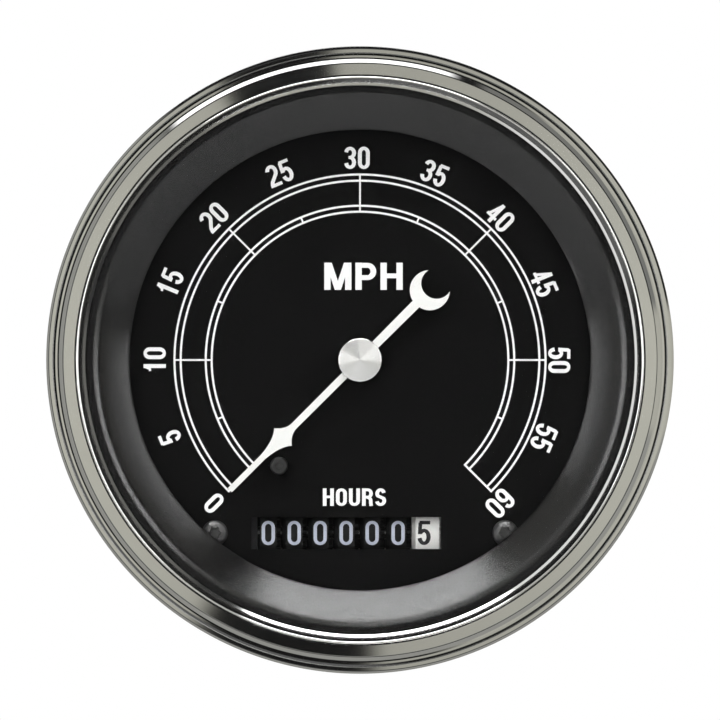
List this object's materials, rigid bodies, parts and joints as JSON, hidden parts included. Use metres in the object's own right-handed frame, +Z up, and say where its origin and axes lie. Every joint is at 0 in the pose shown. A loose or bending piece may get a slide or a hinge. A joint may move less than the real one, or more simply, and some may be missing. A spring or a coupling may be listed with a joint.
{
  "type": "panel speedometer",
  "caption": "Round panel speedometer with stepped chrome bezel, flat lens, black dial, white spade pointer and a drum hour counter in a flanged cup case with rear studs.",
  "frame": {"origin": "on the gauge's axis, in the plane of the bezel's rear seat, where the panel's front face lies", "axes": "+X to the reader's right, +Y into the panel, away from the reader, +Z up the dial"},
  "size_m": [0.095, 0.0744, 0.095],
  "materials": {
    "case_black": "semi-gloss paint",
    "bezel_chrome": "polished plating",
    "lens_glass": "clear, polished",
    "seal_rubber": "matt",
    "trim_black": "satin paint",
    "dial_black": "matt paint with white print",
    "screw_black": "black oxide",
    "peg_black": "matt sleeve",
    "brass": "turned",
    "zinc_steel": "zinc plated",
    "can_steel": "drawn, nickel plated",
    "shaft_steel": "ground",
    "board_green": "solder mask",
    "chip_black": "moulded",
    "capacitor_blue": "sleeved",
    "resistor_tan": "lacquered",
    "bobbin_ivory": "moulded",
    "coil_copper": "enamelled copper wire",
    "jewel_red": "polished",
    "spring_bronze": "rolled strip",
    "magnet_grey": "pressed powder",
    "pointer_white": "white enamel",
    "cap_aluminium": "turned and brushed",
    "drum_white": "moulded, black figures",
    "drum_black": "moulded, white figures",
    "gear_ivory": "moulded",
    "rotor_brass": "turned",
    "socket_black": "moulded",
    "bulb_glass": "clear",
    "block_black": "moulded"
  },
  "bodies": {
    "case": {"case_shell": "case_black", "bezel": "bezel_chrome", "lens": "lens_glass", "lens_seal": "seal_rubber", "trim_ring": "trim_black", "dial_plate": "dial_black", "dial_screws": "screw_black", "stop_peg": "peg_black", "dial_pillars": "brass", "chassis_pillars": "brass", "board_standoffs": "brass", "movement_pins": "brass", "front_bush": "brass", "spring_anchor": "brass", "terminal_studs": "brass", "terminal_nuts": "brass", "chassis_plate": "zinc_steel", "frame_screws": "zinc_steel", "counter_frame": "zinc_steel", "gear_bridge": "zinc_steel", "mounting_studs": "zinc_steel", "mounting_nuts": "zinc_steel", "movement_can": "can_steel", "motor_body": "can_steel", "drum_shaft": "shaft_steel", "pinion_shaft": "shaft_steel", "circuit_board": "board_green", "control_chips": "chip_black", "voltage_regulator": "chip_black", "filter_capacitors": "capacitor_blue", "resistors": "resistor_tan", "bobbin_rear": "bobbin_ivory", "bobbin_front": "bobbin_ivory", "inner_coil": "coil_copper", "outer_coil": "coil_copper", "rear_jewel": "jewel_red", "hairspring": "spring_bronze", "lamp_sockets": "socket_black", "lamp_bulbs": "bulb_glass", "terminal_block": "block_black"},
    "pointer": {"pointer_blade": "pointer_white", "pointer_cap": "cap_aluminium", "pointer_spindle": "shaft_steel", "rotor_magnet": "magnet_grey"},
    "drum_1": {"hour_drum_1": "drum_white"},
    "drum_2": {"hour_drum_2": "drum_black"},
    "drum_3": {"hour_drum_3": "drum_black"},
    "drum_4": {"hour_drum_4": "drum_black"},
    "drum_5": {"hour_drum_5": "drum_black"},
    "drum_6": {"hour_drum_6": "drum_black"},
    "drum_7": {"hour_drum_7": "drum_black"},
    "pinion_1": {"transfer_pinion_1": "gear_ivory"},
    "pinion_2": {"transfer_pinion_2": "gear_ivory"},
    "pinion_3": {"transfer_pinion_3": "gear_ivory"},
    "pinion_4": {"transfer_pinion_4": "gear_ivory"},
    "pinion_5": {"transfer_pinion_5": "gear_ivory"},
    "pinion_6": {"transfer_pinion_6": "gear_ivory"},
    "idler": {"idler_gear": "gear_ivory"},
    "motor": {"motor_rotor": "rotor_brass"}
  },
  "joints": [
    {"name": "pointer_turn", "type": "hinge", "parent": "case", "child": "pointer", "pos_m": [0, 0, 0], "axis": [0, 1, 0], "range_deg": [-1.5, 270], "stiffness_Nm_per_rad": 0.00002, "deforming": ["hairspring"]},
    {"name": "drum_1_turn", "type": "hinge", "parent": "case", "child": "drum_1", "pos_m": [0, 0.01235, -0.02625], "axis": [-1, 0, 0], "continuous": true},
    {"name": "drum_2_turn", "type": "hinge", "parent": "case", "child": "drum_2", "pos_m": [0, 0.01235, -0.02625], "axis": [-1, 0, 0], "continuous": true},
    {"name": "drum_3_turn", "type": "hinge", "parent": "case", "child": "drum_3", "pos_m": [0, 0.01235, -0.02625], "axis": [-1, 0, 0], "continuous": true},
    {"name": "drum_4_turn", "type": "hinge", "parent": "case", "child": "drum_4", "pos_m": [0, 0.01235, -0.02625], "axis": [-1, 0, 0], "continuous": true},
    {"name": "drum_5_turn", "type": "hinge", "parent": "case", "child": "drum_5", "pos_m": [0, 0.01235, -0.02625], "axis": [-1, 0, 0], "continuous": true},
    {"name": "drum_6_turn", "type": "hinge", "parent": "case", "child": "drum_6", "pos_m": [0, 0.01235, -0.02625], "axis": [-1, 0, 0], "continuous": true},
    {"name": "drum_7_turn", "type": "hinge", "parent": "case", "child": "drum_7", "pos_m": [0, 0.01235, -0.02625], "axis": [-1, 0, 0], "continuous": true},
    {"name": "pinion_1_turn", "type": "hinge", "parent": "case", "child": "pinion_1", "pos_m": [0, 0.01962, -0.03173], "axis": [-1, 0, 0], "continuous": true},
    {"name": "pinion_2_turn", "type": "hinge", "parent": "case", "child": "pinion_2", "pos_m": [0, 0.01962, -0.03173], "axis": [-1, 0, 0], "continuous": true},
    {"name": "pinion_3_turn", "type": "hinge", "parent": "case", "child": "pinion_3", "pos_m": [0, 0.01962, -0.03173], "axis": [-1, 0, 0], "continuous": true},
    {"name": "pinion_4_turn", "type": "hinge", "parent": "case", "child": "pinion_4", "pos_m": [0, 0.01962, -0.03173], "axis": [-1, 0, 0], "continuous": true},
    {"name": "pinion_5_turn", "type": "hinge", "parent": "case", "child": "pinion_5", "pos_m": [0, 0.01962, -0.03173], "axis": [-1, 0, 0], "continuous": true},
    {"name": "pinion_6_turn", "type": "hinge", "parent": "case", "child": "pinion_6", "pos_m": [0, 0.01962, -0.03173], "axis": [-1, 0, 0], "continuous": true},
    {"name": "idler_turn", "type": "hinge", "parent": "case", "child": "idler", "pos_m": [0, 0.01741, -0.01954], "axis": [-1, 0, 0], "continuous": true},
    {"name": "motor_turn", "type": "hinge", "parent": "case", "child": "motor", "pos_m": [0, 0.01499, -0.01212], "axis": [-1, 0, 0], "continuous": true}
  ],
  "couplings": [
    {"joint": "drum_2_turn", "follows": "drum_1_turn", "ratio": 0.1},
    {"joint": "drum_3_turn", "follows": "drum_1_turn", "ratio": 0.01},
    {"joint": "drum_4_turn", "follows": "drum_1_turn", "ratio": 0.001},
    {"joint": "drum_5_turn", "follows": "drum_1_turn", "ratio": 0.0001},
    {"joint": "drum_6_turn", "follows": "drum_1_turn", "ratio": 0.00001},
    {"joint": "drum_7_turn", "follows": "drum_1_turn", "ratio": 0.000001},
    {"joint": "pinion_1_turn", "follows": "drum_1_turn", "ratio": -0.25},
    {"joint": "pinion_2_turn", "follows": "drum_1_turn", "ratio": -0.025},
    {"joint": "pinion_3_turn", "follows": "drum_1_turn", "ratio": -0.0025},
    {"joint": "pinion_4_turn", "follows": "drum_1_turn", "ratio": -0.00025},
    {"joint": "pinion_5_turn", "follows": "drum_1_turn", "ratio": -0.000025},
    {"joint": "pinion_6_turn", "follows": "drum_1_turn", "ratio": -0.0000025},
    {"joint": "idler_turn", "follows": "drum_1_turn", "ratio": -3.6667},
    {"joint": "motor_turn", "follows": "drum_1_turn", "ratio": 12.222}
  ]
}
